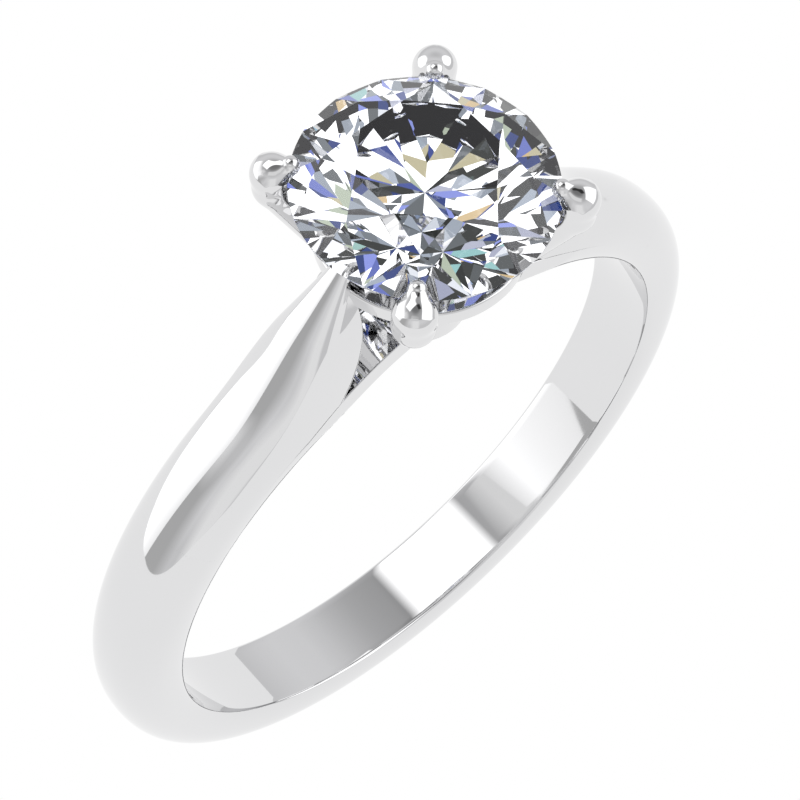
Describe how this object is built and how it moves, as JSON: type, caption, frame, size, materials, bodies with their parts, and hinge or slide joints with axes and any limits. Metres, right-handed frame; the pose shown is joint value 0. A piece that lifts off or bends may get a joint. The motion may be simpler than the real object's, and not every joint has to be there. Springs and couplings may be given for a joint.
{
  "type": "engagement ring",
  "caption": "Cathedral solitaire ring: a court band with raised tapering shoulders, an open head on an under rail, and a round brilliant stone held by claws.",
  "frame": {"origin": "centre of the finger hole, on the finger axis and in the middle plane of the band", "axes": "+Y along the finger axis, towards the back claws; +Z from the finger hole up to the stone's table; +X towards the right shoulder"},
  "size_m": [0.0208, 0.0064, 0.0249],
  "materials": {
    "white_gold_band": "high mirror polish",
    "white_gold_head": "high mirror polish",
    "diamond": "faceted and polished, colourless"
  },
  "bodies": {
    "root": {"shank": "white_gold_band", "shoulder_left": "white_gold_band", "shoulder_right": "white_gold_band", "base_ring": "white_gold_head", "gallery_rail": "white_gold_head", "claw_front_left": "white_gold_head", "claw_front_right": "white_gold_head", "claw_back_left": "white_gold_head", "claw_back_right": "white_gold_head", "centre_stone": "diamond"}
  },
  "joints": []
}
